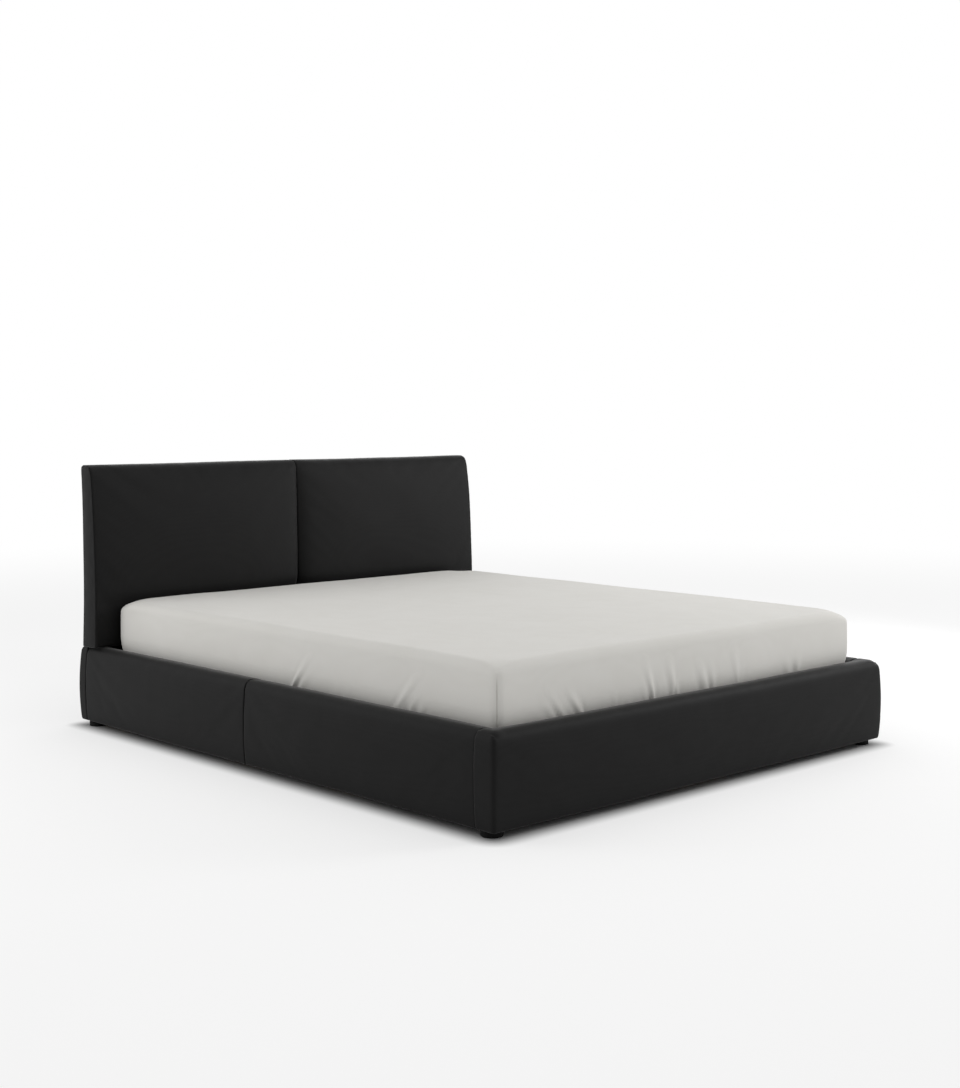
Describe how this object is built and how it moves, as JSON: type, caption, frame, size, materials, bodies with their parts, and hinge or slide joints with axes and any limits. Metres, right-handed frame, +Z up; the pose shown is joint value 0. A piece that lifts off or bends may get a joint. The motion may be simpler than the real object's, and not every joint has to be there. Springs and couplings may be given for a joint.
{
  "type": "upholstered platform bed",
  "caption": "Low upholstered bed with padded box rails, a crowned cushioned headboard, a slatted base and a lift-off mattress in a fitted sheet.",
  "frame": {"origin": "on the floor, under the middle of the frame", "axes": "+Y along the bed towards the headboard, +X across it to the right seen from the foot, +Z up"},
  "size_m": [1.86, 2.22, 0.955],
  "materials": {
    "upholstery": "matte black woven cover",
    "sheet": "plain warm off-white cotton",
    "ticking": "quilted mattress cover",
    "board": "raw board",
    "slat_wood": "sanded and clear lacquered",
    "steel": "black powder coat",
    "foot_plastic": "matte black"
  },
  "bodies": {
    "frame": {"centre_beam": "slat_wood", "centre_leg_1": "steel", "centre_leg_2": "steel", "centre_leg_3": "steel", "centre_leg_pad_1": "foot_plastic", "centre_leg_pad_2": "foot_plastic", "centre_leg_pad_3": "foot_plastic", "foot_beam_hanger": "steel", "foot_left_corner_bolt": "steel", "foot_left_corner_bracket": "steel", "foot_left_foot": "foot_plastic", "foot_right_corner_bolt": "steel", "foot_right_corner_bracket": "steel", "foot_right_foot": "foot_plastic", "footboard_core": "board", "footboard_cover": "upholstery", "head_beam_hanger": "steel", "head_left_corner_bolt": "steel", "head_left_corner_bracket": "steel", "head_left_foot": "foot_plastic", "head_rail_core": "board", "head_rail_cover": "upholstery", "head_right_corner_bolt": "steel", "head_right_corner_bracket": "steel", "head_right_foot": "foot_plastic", "headboard_back": "upholstery", "headboard_panel": "board", "left_headboard_cushion": "upholstery", "left_headboard_upright": "steel", "left_ledge_foot": "slat_wood", "left_ledge_head": "slat_wood", "left_rail_foot_core": "board", "left_rail_foot_cover": "upholstery", "left_rail_head_core": "board", "left_rail_head_cover": "upholstery", "left_rail_splice_plate": "steel", "right_headboard_cushion": "upholstery", "right_headboard_upright": "steel", "right_ledge_foot": "slat_wood", "right_ledge_head": "slat_wood", "right_rail_foot_core": "board", "right_rail_foot_cover": "upholstery", "right_rail_head_core": "board", "right_rail_head_cover": "upholstery", "right_rail_splice_plate": "steel", "slat_01": "slat_wood", "slat_02": "slat_wood", "slat_03": "slat_wood", "slat_04": "slat_wood", "slat_05": "slat_wood", "slat_06": "slat_wood", "slat_07": "slat_wood", "slat_08": "slat_wood", "slat_09": "slat_wood", "slat_10": "slat_wood", "slat_11": "slat_wood", "slat_12": "slat_wood"},
    "mattress": {"mattress": "ticking", "fitted_sheet": "sheet"}
  },
  "joints": [
    {"name": "mattress_lift", "type": "slide", "parent": "frame", "child": "mattress", "axis": [0, 0, 1], "range_m": [0, 0.3]}
  ]
}
